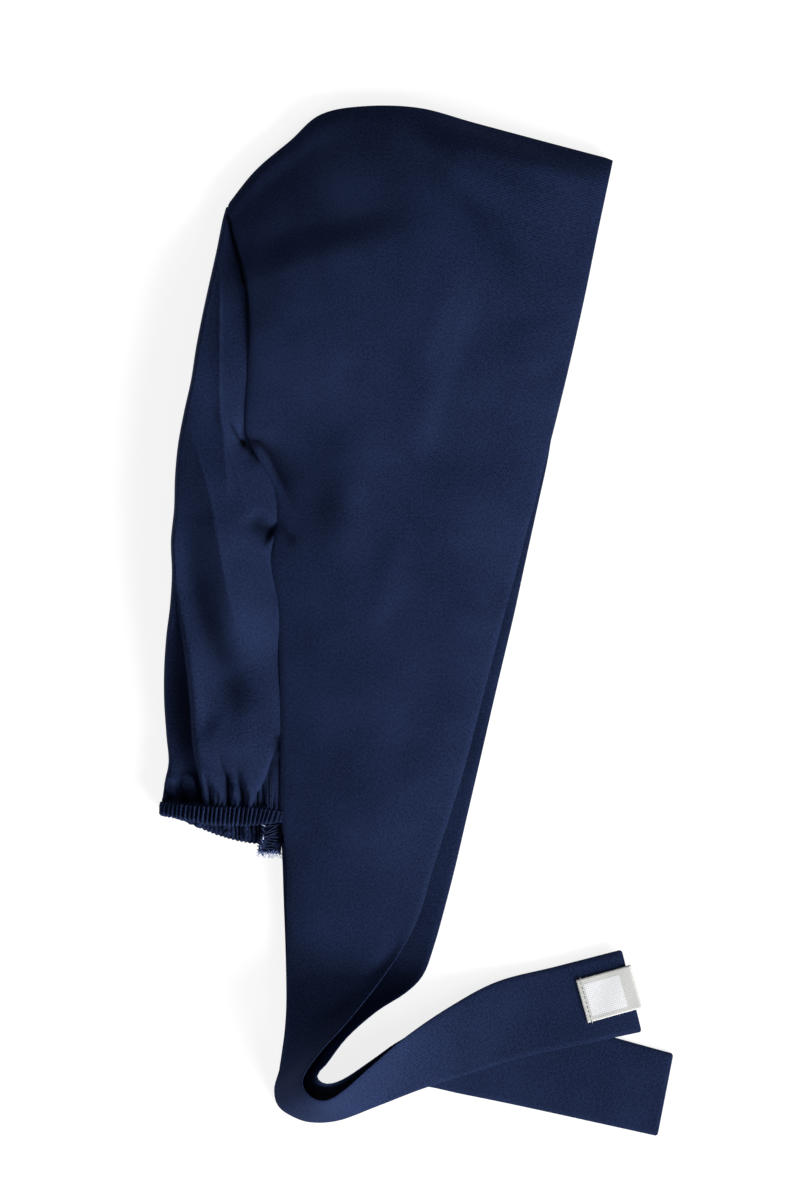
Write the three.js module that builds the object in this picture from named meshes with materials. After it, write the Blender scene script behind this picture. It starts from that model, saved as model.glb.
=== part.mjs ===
// A tie-back scrub cap, lying folded on its side.
//
// Millimetres, +Z up from the surface that the cap lies on, +Y towards the crown, +X towards the
// forehead edge. The near half of the cap is the upper one and the far half lies on the surface;
// the two are joined along the middle line, which runs over the crown.
//
// front_panel     one self-lined cloth from tie end to tie end, folded over the middle line
// back_panel      the pouch for the hair, sewn to the front panel's back edge
// elastic_casing  the gathered hem round the elastic at the nape
// seam_end        the overlocked end of the far seam's allowance
// label           a woven label folded over the end of the near tie
import * as THREE from "three";

// Driving dimensions.
const panelThickness = 1.2; // two layers of twill, turned right side out
const pouchThickness = 1.0; // one layer of twill, with its gathers
const casingThickness = 2.2; // gathered twill round the elastic
const casingHeight = 7.2;
const sewingGap = 1.1; // clearance between pieces that are sewn together
const nearFoldReach = 6.5; // how far in from the middle line the near half takes to turn over
const farFoldReach = 3.8;
const plateau = 2.5; // the higher, the flatter the top of a section
const labelSize = { length: 24.5, width: 19, thickness: 1, overhang: 3.2 };
const seamEndSize = { width: 8, length: 14, thickness: 1.6 };

const onSurface = panelThickness / 2; // height of a cloth's middle where it lies flat

// The middle line over the crown, from the forehead edge to the back seam.
const crownLine = [
  [81.8, 195.6],
  [52.5, 203.0],
  [23.6, 210.6],
  [0.4, 217.2],
  [-21.9, 217.9],
  [-40.0, 214.4],
  [-53.4, 203.4],
  [-68.2, 190.8],
  [-79.2, 176.4],
];
// Height of the middle line at the forehead edge, over the crown and at the back seam.
const crownHeight = { front: 2.9, middle: 5, back: 3.6 };

// Sections of the near half, from the middle line to the end of its tie. front is the forehead
// edge, back the seam or the tie's other edge; middle is the height halfway between, and bow how
// much of the crown line's curve the section keeps.
const nearSections = [
  { front: [81.8, 195.6, 6], back: [-79.2, 176.4, 6], middle: 8, bow: 1 },
  { front: [79.3, 184, 7.4], back: [-76.7, 167.9, 7.5], middle: 10.5, bow: 0.93 },
  { front: [75.4, 165.3, 8.8], back: [-72.5, 152.6, 10], middle: 15, bow: 0.78 },
  { front: [70.3, 140.7, 9.6], back: [-70.3, 127.9, 12.5], middle: 18.5, bow: 0.55 },
  { front: [63.5, 110.1, 9.8], back: [-70.3, 96.1, 13.5], middle: 19.5, bow: 0.3 },
  { front: [54.4, 71.8, 9.8], back: [-70.6, 78.2, 13], middle: 18.5, bow: 0.12 },
  { front: [46.1, 36.6, 9.8], back: [-61.8, 46.3, 12.5], middle: 17.5, bow: 0.04 },
  { front: [34.6, -3.8, 9.8], back: [-60.6, 8.9, 12], middle: 16.5, bow: 0 },
  { front: [24, -46.3, 9.8], back: [-57.2, -33.6, 11.5], middle: 15, bow: 0 },
  { front: [14.7, -81.2, 10], back: [-57.6, -71.8, 10.5], middle: 13.5, bow: 0 },
  { front: [7, -106.7, 11], back: [-55.9, -97.3, 7.5], middle: 11, bow: 0 },
  { front: [1.1, -124.1, 13], back: [-54.2, -119.9, 4.6], middle: 9, bow: 0 },
  { front: [-7.9, -137.7, 18], back: [-53.8, -144.9, 3.4], middle: 9, bow: 0 },
  { front: [-22.7, -156.8, 24], back: [-54.6, -166.2, 3.2], middle: 12.5, bow: 0 },
  { front: [-36.8, -174.7, 28], back: [-56.7, -182.3, 2.6], middle: 15, bow: 0 },
  { front: [-45.3, -185.7, 30], back: [-59.7, -190.8, 1.2], middle: 16.5, bow: 0 },
  { front: [-48.2, -191.3, 30.5], back: [-60.4, -199.3, 0.8], middle: 16.5, bow: 0 },
  { front: [-46.5, -197.2, 30.5], back: [-56.3, -207.8, 0.8], middle: 16.5, bow: 0 },
  { front: [-41.4, -200.2, 30.5], back: [-46.1, -212.1, 0.8], middle: 16.5, bow: 0 },
  { front: [-35.1, -197.6, 30], back: [-31.7, -210.8, 1.2], middle: 16.5, bow: 0 },
  { front: [-23.2, -189.1, 27], back: [-13.4, -203.6, 2.4], middle: 15, bow: 0 },
  { front: [-7.9, -177.7, 19], back: [4.5, -197.2, 3], middle: 11, bow: 0 },
  { front: [12.5, -162.8, 9], back: [24, -190.8, 2.8], middle: 5.2, bow: 0 },
  { front: [35.5, -152.2, 4], back: [45.3, -185.3, 2.6], middle: 3.2, bow: 0 },
  { front: [61, -145.4, 2.8], back: [69.5, -180.6, 2.6], middle: 2.7, bow: 0 },
  { front: [86.7, -140.3, 2.6], back: [95.2, -173.8, 2.6], middle: 2.6, bow: 0 },
];

// The far half starts like the near one, flat on the surface, then shows past it.
const farStart = nearSections.slice(0, 6).map(({ front, back, bow }) => ({
  front: [front[0], front[1], onSurface],
  back: [back[0], back[1], onSurface],
  middle: onSurface,
  bow,
}));
const farSections = [
  ...farStart,
  { front: [48.9, 36.6, 0.6], back: [-61.8, 46.3, 0.6], middle: 0.6, bow: 0.04 },
  { front: [39.1, -3.8, 0.6], back: [-60.6, 8.9, 0.6], middle: 0.6, bow: 0 },
  { front: [29.8, -47.2, 0.6], back: [-57.2, -33.6, 0.6], middle: 0.6, bow: 0 },
  { front: [21.5, -81.2, 0.6], back: [-58, -71.8, 0.6], middle: 0.6, bow: 0 },
  { front: [14.9, -109.2, 0.6], back: [-57.6, -98.2, 0.6], middle: 0.6, bow: 0 },
  { front: [10, -128.8, 1.4], back: [-55.7, -112.6, 0.6], middle: 0.6, bow: 0 },
  { front: [5.7, -142.4, 4], back: [-54.6, -137.7, 0.6], middle: 0.6, bow: 0 },
  { front: [-1.9, -156, 9], back: [-54.2, -156.8, 0.6], middle: 2, bow: 0 },
  { front: [-20.2, -169.6, 17], back: [-55, -171.7, 0.6], middle: 6, bow: 0 },
  { front: [-33.8, -179.4, 24], back: [-56.3, -183.2, 0.6], middle: 11, bow: 0 },
  { front: [-41.9, -184.9, 28], back: [-57.6, -191.7, 0.6], middle: 14.5, bow: 0 },
  { front: [-44, -188.7, 28.5], back: [-56.6, -199.4, 0.6], middle: 15, bow: 0 },
  { front: [-41, -192.5, 28.5], back: [-49.5, -206, 0.6], middle: 15, bow: 0 },
  { front: [-35.5, -193.8, 27.5], back: [-35.9, -206.2, 0.6], middle: 14.5, bow: 0 },
  { front: [-22.7, -187.2, 22], back: [-18.5, -201.4, 0.6], middle: 11, bow: 0 },
  { front: [-7, -179.4, 12], back: [1.5, -197, 0.6], middle: 5.5, bow: 0 },
  { front: [12.5, -167, 3.4], back: [19.3, -200.6, 0.6], middle: 1.2, bow: 0 },
  { front: [48.2, -169.2, 0.6], back: [47, -206.6, 0.6], middle: 0.6, bow: 0 },
  { front: [109, -182.3, 0.6], back: [101.8, -218.5, 0.6], middle: 0.6, bow: 0 },
];

// The pouch's outer line from the crown to the casing. section is the place along the front
// panel's sections where the seam is at that level, for the near and the far seam; rise is the
// height of the near cloth halfway between the line and the seam.
const pouchLevels = [
  { outer: [-80.9, 172.4], near: 0.7, far: 0.7, rise: 6.5 },
  { outer: [-82.5, 167], near: 1, far: 1, rise: 7.5 },
  { outer: [-85.9, 150.9], near: 2, far: 2, rise: 10.5 },
  { outer: [-90.1, 129.6], near: 3, far: 3, rise: 13 },
  { outer: [-96.5, 95.6], near: 4, far: 4, rise: 15.5 },
  { outer: [-100.5, 75.2], near: 5, far: 5, rise: 17 },
  { outer: [-102.4, 49.3], near: 6, far: 6, rise: 18 },
  { outer: [-104.1, 8.9], near: 7, far: 7, rise: 18 },
  { outer: [-106.7, -29.3], near: 8, far: 8, rise: 17 },
  { outer: [-105.4, -61.2], near: 9, far: 9, rise: 15 },
  { outer: [-107.6, -75.7], near: 9.38, far: 9.62, rise: 13 },
];
const pouchStart = 0.3; // the level where the pouch is wide enough to have an inside
const pouchOuterHeight = 4.6;
const pouchFoldReach = { near: 9, far: 5 };

// Folds and dents of the near half: a ridge or, where height is negative, a valley that runs
// from one end to the other and fades at both.
const panelFolds = [
  { from: [4, 203], to: [28, 172], width: 4.5, height: -2.2 },
  { from: [16, 208], to: [44, 158], width: 7.5, height: -2.4 },
  { from: [-4, 214], to: [-10, 190], width: 6, height: 1.2 },
  { from: [-66, 76], to: [-42, 50], width: 10, height: -4.5 },
  { from: [20, 140], to: [2, 66], width: 9, height: 0.9 },
];
const pouchFolds = [
  { from: [-83, 150], to: [-80, 60], width: 2.2, height: 1.2 },
  { from: [-97, 40], to: [-72, -50], width: 8, height: -4 },
  { from: [-103, 10], to: [-94, -74], width: 5, height: -7 },
  { from: [-69, 76], to: [-58, 44], width: 5, height: -2.5 },
];

const { lerp, clamp, degToRad } = THREE.MathUtils;

// A smooth curve through one column of a table, asked for by row number.
function through(rows, pick) {
  const curve = new THREE.CatmullRomCurve3(rows.map(pick), false, "catmullrom", 0.5);
  return (row) => curve.getPoint(clamp(row / (rows.length - 1), 0, 1));
}

// How far up a rounded fold has turned at a distance from its line: 0 on the line, 1 past reach.
function turned(distance, reach) {
  return Math.sqrt(1 - (1 - clamp(distance / reach, 0, 1)) ** 2);
}

// The height that folds add at a place on the cloth.
function foldHeight(x, y, folds) {
  let height = 0;
  for (const fold of folds) {
    const run = new THREE.Line3(
      new THREE.Vector3(...fold.from, 0),
      new THREE.Vector3(...fold.to, 0),
    );
    const place = new THREE.Vector3(x, y, 0);
    const along = run.closestPointToPointParameter(place, true);
    const away = run.at(along, new THREE.Vector3()).distanceTo(place);
    const fade = 1 - Math.abs(2 * along - 1) ** 3;
    height += fold.height * fade * Math.exp(-((away / fold.width) ** 2));
  }
  return height;
}

const crown = through(crownLine, ([x, y]) => new THREE.Vector3(x, y, 0));

// How the crown line leaves the straight line between its ends, across the panel.
function crownCurve(across) {
  const straight = crown(0).lerp(crown(crownLine.length - 1), across);
  return crown(across * (crownLine.length - 1)).sub(straight);
}

function middleLineHeight(across) {
  const { front, middle, back } = crownHeight;
  return lerp(front, back, across) + (middle - (front + back) / 2) * 4 * across * (1 - across);
}

// One half of the front panel as a function of row and place across: 0 at the forehead edge
// and 1 at the back.
function panelHalf(rows, reach, folds) {
  const front = through(rows, (r) => new THREE.Vector3(...r.front));
  const back = through(rows, (r) => new THREE.Vector3(...r.back));
  const shape = through(rows, (r) => new THREE.Vector3(r.middle, r.bow, 0));
  const rowLength = front(0).distanceTo(front(1));
  return (row, across) => {
    const a = front(row);
    const b = back(row);
    const { x: middle, y: bow } = shape(row);
    const point = a.clone().lerp(b, across).addScaledVector(crownCurve(across), bow);
    const swell = (middle - (a.z + b.z) / 2) * (1 - Math.abs(2 * across - 1) ** plateau);
    const level = point.z + swell + foldHeight(point.x, point.y, folds) * clamp(row, 0, 1);
    const line = middleLineHeight(across);
    point.z = lerp(line, level, turned(row * rowLength, reach));
    point.z = Math.max(point.z, onSurface);
    return point;
  };
}

const nearHalf = panelHalf(nearSections, nearFoldReach, panelFolds);
const farHalf = panelHalf(farSections, farFoldReach, []);

// A closed solid from a grid of points on the middle of a cloth: grid[i][j] as Vector3.
function clothSolid(grid, thickness) {
  const rows = grid.length;
  const columns = grid[0].length;
  const at = (i, j) => grid[clamp(i, 0, rows - 1)][clamp(j, 0, columns - 1)];
  const positions = [];
  for (const side of [1, -1]) {
    for (let i = 0; i < rows; i += 1) {
      for (let j = 0; j < columns; j += 1) {
        const alongRows = at(i + 1, j).clone().sub(at(i - 1, j));
        const alongColumns = at(i, j + 1).clone().sub(at(i, j - 1));
        const normal = alongRows.cross(alongColumns).normalize();
        const p = at(i, j).clone().addScaledVector(normal, (side * thickness) / 2);
        positions.push(p.x, p.y, p.z);
      }
    }
  }
  const index = [];
  const top = (i, j) => i * columns + j;
  const bottom = (i, j) => rows * columns + top(i, j);
  const quad = (a, b, c, d) => index.push(a, b, c, a, c, d);
  for (let i = 0; i + 1 < rows; i += 1) {
    for (let j = 0; j + 1 < columns; j += 1) {
      quad(top(i, j), top(i + 1, j), top(i + 1, j + 1), top(i, j + 1));
      quad(bottom(i, j), bottom(i, j + 1), bottom(i + 1, j + 1), bottom(i + 1, j));
    }
    quad(top(i, 0), bottom(i, 0), bottom(i + 1, 0), top(i + 1, 0));
    quad(top(i + 1, columns - 1), bottom(i + 1, columns - 1), bottom(i, columns - 1), top(i, columns - 1));
  }
  for (let j = 0; j + 1 < columns; j += 1) {
    quad(top(0, j + 1), bottom(0, j + 1), bottom(0, j), top(0, j));
    quad(top(rows - 1, j), bottom(rows - 1, j), bottom(rows - 1, j + 1), top(rows - 1, j + 1));
  }
  const geometry = new THREE.BufferGeometry();
  geometry.setAttribute("position", new THREE.Float32BufferAttribute(positions, 3));
  geometry.setIndex(index);
  geometry.computeVertexNormals();
  return geometry;
}

const evenly = (count, from, to) =>
  Array.from({ length: count + 1 }, (_, i) => lerp(from, to, i / count));

// The rows where a half of the panel is cut into facets: close together where it turns over at
// the middle line, then so many to each section.
function panelRows(lastRow, perSection) {
  const turn = [22, 42, 60, 76].map((angle) => 0.6 * (1 - Math.cos(degToRad(angle))));
  return [...turn, ...evenly(lastRow * perSection - 1, 1 / perSection, lastRow)];
}

function frontPanel() {
  const columns = evenly(12, 0, 1);
  const near = panelRows(nearSections.length - 1, 2).map((row) =>
    columns.map((across) => nearHalf(row, across)),
  );
  const far = panelRows(farSections.length - 1, 2).map((row) =>
    columns.map((across) => farHalf(row, across)),
  );
  const middleLine = columns.map((across) => nearHalf(0, across));
  return clothSolid([...near.reverse(), middleLine, ...far], panelThickness);
}

// The pouch: round is 0 at the near seam, 0.5 on the outer line and 1 at the far seam.
const pouchOuter = through(pouchLevels, (l) => new THREE.Vector3(...l.outer, pouchOuterHeight));
const pouchShape = through(pouchLevels, (l) => new THREE.Vector3(l.near, l.far, l.rise));

function pouch(level, round) {
  const outer = pouchOuter(level);
  const { x: nearRow, y: farRow, z: rise } = pouchShape(level);
  const upper = round < 0.5;
  const seam = upper ? nearHalf(nearRow, 1) : farHalf(farRow, 1);
  const width = outer.distanceTo(seam);
  seam.lerp(outer, sewingGap / width);
  const inward = (1 - Math.cos(Math.PI * Math.abs(1 - 2 * round))) / 2;
  const point = outer.clone().lerp(seam, inward);
  const lower = pouchThickness / 2;
  const middle = (seam.z + rise) / 2;
  const swell = (rise - middle) * (1 - Math.abs(2 * inward - 1) ** plateau);
  const folds = foldHeight(point.x, point.y, pouchFolds);
  const top = lerp(rise, seam.z, inward) + swell + folds * 4 * inward * (1 - inward);
  const reach = upper ? pouchFoldReach.near : pouchFoldReach.far;
  const farLevel = lerp(lower, seam.z, clamp((inward - 0.9) * 10, 0, 1));
  const turn = turned(inward * width, Math.min(reach, width * 0.6));
  point.z = Math.max(lerp(outer.z, upper ? top : farLevel, turn), lower);
  return point;
}

function backPanel() {
  const last = pouchLevels.length - 1;
  const rounds = evenly(20, 0, 1);
  const levels = evenly(last * 2, pouchStart, last);
  return clothSolid(levels.map((level) => rounds.map((round) => pouch(level, round))), pouchThickness);
}

// The casing carries the pouch's lowest section on down.
function elasticCasing() {
  const last = pouchLevels.length - 1;
  const rounds = evenly(28, 0, 1);
  const drops = [sewingGap, casingHeight];
  const grid = drops.map((drop) =>
    rounds.map((round) => {
      const point = pouch(last, round);
      point.y -= drop;
      point.z = Math.max(point.z, casingThickness / 2);
      return point;
    }),
  );
  return clothSolid(grid, casingThickness);
}

// The far seam's allowance shows past the near end of the casing and hangs below it.
function seamEnd() {
  const { width, length, thickness } = seamEndSize;
  const box = new THREE.BoxGeometry(width, length, thickness);
  const start = farHalf(pouchLevels.at(-1).far, 1);
  box.rotateZ(degToRad(-4));
  box.translate(start.x - width / 2 - 0.8, start.y - 5.2, casingThickness + thickness / 2 + 0.4);
  return box;
}

// A strip bent double over the tie's end, drawn as the outline of its side and extruded.
function label() {
  const { length, width, thickness, overhang } = labelSize;
  const inside = panelThickness / 2 + 0.4;
  const outside = inside + thickness;
  const side = new THREE.Shape();
  side.moveTo(overhang - length, inside);
  side.lineTo(0, inside);
  side.absarc(0, 0, inside, Math.PI / 2, -Math.PI / 2, true);
  side.lineTo(overhang - length, -inside);
  side.lineTo(overhang - length, -outside);
  side.lineTo(overhang - outside, -outside);
  side.absarc(overhang - outside, 0, outside, -Math.PI / 2, Math.PI / 2, false);
  side.lineTo(overhang - length, outside);
  side.closePath();
  const strip = new THREE.ExtrudeGeometry(side, { depth: width, bevelEnabled: false, curveSegments: 6 });
  strip.translate(0, 0, -width / 2);
  strip.rotateX(Math.PI / 2);
  return strip;
}

function placedLabel() {
  const last = nearSections.length - 1;
  const mesh = new THREE.Mesh(label(), paleTape);
  const end = nearHalf(last, 0.47);
  const before = nearHalf(last - 0.5, 0.47);
  mesh.position.copy(end).add(new THREE.Vector3(0.2, 0, 0));
  mesh.rotation.z = Math.atan2(end.y - before.y, end.x - before.x);
  return mesh;
}

const navyTwill = new THREE.MeshStandardMaterial({ color: 0x1d2742, roughness: 0.85 });
const navyGathers = new THREE.MeshStandardMaterial({ color: 0x222d4c, roughness: 0.85 });
const navyThread = new THREE.MeshStandardMaterial({ color: 0x1b2b52, roughness: 0.95 });
const paleTape = new THREE.MeshStandardMaterial({ color: 0xd6d7d3, roughness: 0.7 });

function named(name, mesh) {
  mesh.name = name;
  return mesh;
}

const cap = new THREE.Group();
cap.add(named("front_panel", new THREE.Mesh(frontPanel(), navyTwill)));
cap.add(named("back_panel", new THREE.Mesh(backPanel(), navyTwill)));
cap.add(named("elastic_casing", new THREE.Mesh(elasticCasing(), navyGathers)));
cap.add(named("seam_end", new THREE.Mesh(seamEnd(), navyThread)));
cap.add(named("label", placedLabel()));

// The origin is the middle of the cap's outline, on the surface it lies on.
const bounds = new THREE.Box3().setFromObject(cap);
const middle = bounds.getCenter(new THREE.Vector3());
cap.position.set(-middle.x, -middle.y, -bounds.min.z);

export default cap;
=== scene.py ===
import math

import bpy
import numpy as np
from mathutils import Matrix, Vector


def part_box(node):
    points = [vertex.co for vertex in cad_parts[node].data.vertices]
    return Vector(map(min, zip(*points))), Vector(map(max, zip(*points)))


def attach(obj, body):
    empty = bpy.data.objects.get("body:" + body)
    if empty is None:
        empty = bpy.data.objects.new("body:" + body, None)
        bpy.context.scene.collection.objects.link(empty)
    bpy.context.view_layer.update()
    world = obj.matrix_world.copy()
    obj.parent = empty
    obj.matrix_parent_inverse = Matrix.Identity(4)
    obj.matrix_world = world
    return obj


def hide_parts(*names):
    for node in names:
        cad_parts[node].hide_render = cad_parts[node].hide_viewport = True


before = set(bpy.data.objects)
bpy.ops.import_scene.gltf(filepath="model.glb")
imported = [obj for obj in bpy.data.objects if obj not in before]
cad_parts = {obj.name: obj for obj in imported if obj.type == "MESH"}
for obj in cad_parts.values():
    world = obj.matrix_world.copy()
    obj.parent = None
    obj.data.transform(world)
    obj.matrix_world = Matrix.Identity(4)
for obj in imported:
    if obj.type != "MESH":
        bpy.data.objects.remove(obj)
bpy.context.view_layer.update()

mm = 0.001  # the tables below are in millimetres
rounding = 0.35  # the radius of a cloth's edge
floorGap = 0.05  # a hair between cloth and floor


def linearFromHex(text):  # sRGB hex to the linear colour that shaders take
    parts = [int(text[i:i + 2], 16) / 255 for i in (1, 3, 5)]
    return [c / 12.92 if c <= 0.04045 else ((c + 0.055) / 1.055) ** 2.4 for c in parts] + [1]


def fill(tree, node, sockets):  # numbers for a node's sockets, or what is linked into them
    for name, value in sockets.items():
        if isinstance(value, bpy.types.NodeSocket):
            tree.links.new(value, node.inputs[name])
        else:
            node.inputs[name].default_value = value


def addNode(tree, kind, sockets, settings=None, out=0):  # gives one of the new node's outputs
    node = tree.nodes.new(kind)
    for name, value in (settings or {}).items():
        setattr(node, name, value)
    fill(tree, node, sockets)
    return node.outputs[out]


def through(values, at):
    # the smooth curve through the rows of a table's column, asked for by row number
    values = np.asarray(values, float)
    flat = values.ndim == 1
    if flat:
        values = values[:, None]
    ends = 2 * values[0] - values[1], 2 * values[-1] - values[-2]
    line = np.vstack([ends[0], values, ends[1]])
    at = np.clip(np.asarray(at, float), 0, len(values) - 1)
    i = np.minimum(at.astype(int), len(values) - 2)
    t = (at - i)[..., None]
    a, b, c, d = (line[i + k] for k in range(4))
    got = b + 0.5 * t * (c - a + t * (2 * a - 5 * b + 4 * c - d + t * (3 * (b - c) + d - a)))
    return got[..., 0] if flat else got


def read(table, name, at):
    return through([row[name] for row in table], at)


def runAlong(points):  # how far along the line through them each point is
    return np.concatenate([[0], np.cumsum(np.linalg.norm(np.diff(points, axis=0), axis=1))])


def mix(a, b, share):
    return a + (b - a) * share


def eased(share):  # from 0 to 1 with a soft start and end
    share = np.clip(share, 0, 1)
    return share * share * (3 - 2 * share)


def turned(distance, reach):  # how far a rounded fold has turned, 0 on its line and 1 past reach
    return np.sqrt(1 - (1 - np.clip(distance / reach, 0, 1)) ** 2)


def besideLine(x, y, line):
    # for each place: its distance from a smooth line, which side it is on, and how far along
    count = 6 * (len(line) - 1) + 1
    curve = through(line, np.linspace(0, len(line) - 1, count))
    away, place, side = np.full(x.shape, 1e9), np.zeros(x.shape), np.zeros(x.shape)
    for i in range(count - 1):
        step = curve[i + 1] - curve[i]
        length = np.hypot(*step) + 1e-9
        runX, runY = step / length
        offX, offY = x - curve[i, 0], y - curve[i, 1]
        along = np.clip(offX * runX + offY * runY, 0, length)
        restX, restY = offX - along * runX, offY - along * runY
        distance = np.hypot(restX, restY)
        nearer = distance < away
        away = np.where(nearer, distance, away)
        place = np.where(nearer, (i + along / length) / (count - 1), place)
        side = np.where(nearer, runX * restY - runY * restX, side)
    return away, side, place


def faded(place, fade):  # from 0 at a line's ends to 1 between them
    fadeIn, fadeOut = (max(share, 1e-6) for share in fade)
    return eased(np.clip(place / fadeIn, 0, 1) * np.clip((1 - place) / fadeOut, 0, 1))


def fold(line, left, right, height, fade=(0.3, 0.3), sharp=False):
    # a ridge (+) or valley (-) along a line, with one width on its left and another on its right;
    # it fades in and out over these shares of the line, and a sharp one is creased
    return {"line": line, "left": left, "right": right, "height": height, "fade": fade,
            "sharp": sharp}


def foldHeight(x, y, folds):
    total = np.zeros(x.shape)
    for one in folds:
        away, side, place = besideLine(x, y, one["line"])
        width = np.where(side > 0, one["left"], one["right"])
        share = faded(place, one["fade"])
        total += one["height"] * share * np.exp(-(away / width) ** (1 if one["sharp"] else 2))
    return total


def stepHeight(x, y, steps):
    # cliffs: the cloth on the line's left lies lower, under the edge of a fold
    total = np.zeros(x.shape)
    for step in steps:
        away, side, place = besideLine(x, y, step["line"])
        left = np.where(side > 0, away, 0)
        share = eased(np.where(side > 0, away, -away) / step["over"] + 0.5)
        share = share * np.exp(-(left / step["reach"]) ** 2)
        total -= step["drop"] * share * faded(place, step["fade"])
    return total


def waves(x, y, height, length, seed):
    # a few long waves that cross, as in cloth that isn't pressed
    rng = np.random.default_rng(seed)
    total = np.zeros(x.shape)
    count = 6
    for _ in range(count):
        heading = rng.uniform(0, math.pi)
        phase = rng.uniform(0, 2 * math.pi)
        stretch = rng.uniform(0.7, 1.5)
        along = x * math.cos(heading) + y * math.sin(heading)
        total += np.sin(along * 2 * math.pi / (length * stretch) + phase)
    return height * total / count


def gridNormals(points):
    normal = np.cross(np.gradient(points, axis=0), np.gradient(points, axis=1))
    return normal / np.maximum(np.linalg.norm(normal, axis=2, keepdims=True), 1e-9)


def clothMesh(name, material, points, flat, half, paintedShade=None):
    # a closed cloth from a grid on its middle: points[i, j] in mm, flat[i, j] its place on the
    # cut cloth in mm, half[i, j] half its thickness, which is 0 round the edge, and
    # paintedShade[i, j] how much painted shade darkens its colour, deep in creases
    rows, columns = points.shape[:2]
    normal = gridNormals(points)
    upper, lower = points + normal * half[..., None], points - normal * half[..., None]
    index = np.arange(rows * columns).reshape(rows, columns)
    rim = np.zeros((rows, columns), bool)
    rim[[0, -1]] = True
    rim[:, [0, -1]] = True
    under = index + rows * columns
    under[rim] = index[rim]  # the two sides share the rim's points
    quads = []
    for ids, order in ((index, (0, 1, 2, 3)), (under, (0, 3, 2, 1))):
        corners = [ids[:-1, :-1], ids[1:, :-1], ids[1:, 1:], ids[:-1, 1:]]
        quads.append(np.stack([corners[k] for k in order], axis=-1).reshape(-1, 4))
    coordinates = np.vstack([upper.reshape(-1, 3), lower.reshape(-1, 3)]) * mm
    place = np.vstack([flat.reshape(-1, 2), flat.reshape(-1, 2)]) * mm
    used, quads = np.unique(np.vstack(quads), return_inverse=True)
    quads = quads.reshape(-1, 4)
    mesh = bpy.data.meshes.new(name)
    mesh.from_pydata(coordinates[used].tolist(), [], quads.tolist())
    uv = mesh.uv_layers.new(name="cloth")
    uv.data.foreach_set("uv", place[used][quads.ravel()].ravel())
    # painted shade: a point attribute that darkens the cloth's colour in its creases
    if paintedShade is not None:
        shadeShare = np.concatenate([paintedShade.ravel(), paintedShade.ravel()])[used].astype(np.float32)
        mesh.attributes.new("paintedShade", "FLOAT", "POINT").data.foreach_set("value", shadeShare)
    mesh.polygons.foreach_set("use_smooth", np.ones(len(quads), bool))
    mesh.update()
    mesh.materials.append(material)
    thing = bpy.data.objects.new(name, mesh)
    bpy.context.collection.objects.link(thing)
    print(name, "has", len(quads), "faces")
    return thing


def rimPlaces(width, interior, edge):
    # places across a cloth from 0 to 1, close together at both edges so that these are round
    near = np.array([0, 0.01, 0.04, 0.09, 0.2, 0.5, 1]) * edge
    near = near[None, :] / np.asarray(width)[:, None]
    inner = np.linspace(0, 1, interior + 2)[None, 1:-1]
    inner = near[:, -1:] + (1 - 2 * near[:, -1:]) * inner
    return np.hstack([near, inner, 1 - near[:, ::-1]])


def rimThickness(distance, half, edge):
    # half the thickness at a distance from the nearest edge: pressed thin, then rounded
    return half * (0.45 + 0.55 * eased(distance / edge)) * turned(distance, rounding)


def roundedCorners(across, fromEnd, width, radius):  # the ends' corners drawn in to a radius
    near = np.clip(fromEnd, 0, radius)
    inset = radius - np.sqrt(np.maximum(radius ** 2 - (radius - near) ** 2, 0))
    return 0.5 + (across - 0.5) * (1 - 2 * inset / width)


studio = {
    "lens": 135,
    "sensor": 36,
    "framed": (0.340, 0.510),  # what the picture takes in, width and height on the floor
    "aimedAt": (-0.0070, 0.0089),
    "clipEnd": 20,
    "floor": "#9a9a9a",
    "floorSize": 6,
    "floorDepth": 0.0002,  # just under the cloth, so that the two don't flicker
    "floorGlow": 0.82,  # a lit table, which keeps the floor white and its shadows faint
    "skyFoot": 0.28,  # the room is brighter towards the foot of the picture than towards its head
    "skyHead": 0.03,
}
softboxes = {
    # where each softbox stands, how large it is and how bright
    "foot": {"at": (3.7, -3.8, 2.1), "size": (3.2, 1.9), "watts": 535},
    "right": {"at": (4.5, 0.5, 2.3), "size": (2.1, 2.5), "watts": 70},
    "left": {"at": (-2.5, -3.1, 2.0), "size": (1.4, 1.7), "watts": 50},
}


def makeCamera():
    data = bpy.data.cameras.new("camera")
    data.lens = studio["lens"]
    data.sensor_width = studio["sensor"]
    data.clip_end = studio["clipEnd"]
    camera = bpy.data.objects.new("camera", data)
    height = studio["framed"][1] * studio["lens"] / studio["sensor"]
    camera.location = (*studio["aimedAt"], height)
    bpy.context.collection.objects.link(camera)
    bpy.context.scene.camera = camera


def makeRoom():
    world = bpy.data.worlds.new("room")
    world.use_nodes = True
    tree = world.node_tree
    look = addNode(tree, "ShaderNodeTexCoord", {}, out="Generated")
    heading = addNode(tree, "ShaderNodeSeparateXYZ", {"Vector": look}, out="Y")
    bright = addNode(tree, "ShaderNodeMapRange", {
        "Value": heading, "From Min": -1, "From Max": 1,
        "To Min": studio["skyFoot"], "To Max": studio["skyHead"],
    })
    fill(tree, tree.nodes["Background"], {"Color": (1, 1, 1, 1), "Strength": bright})
    bpy.context.scene.world = world


def makeSoftboxes():
    for name, box in softboxes.items():
        data = bpy.data.lights.new(name, "AREA")
        data.shape = "RECTANGLE"
        data.size, data.size_y = box["size"]
        data.energy = box["watts"]
        light = bpy.data.objects.new(name, data)
        light.location = box["at"]
        light.rotation_euler = (-Vector(box["at"])).to_track_quat("-Z", "Y").to_euler()
        bpy.context.collection.objects.link(light)


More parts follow.
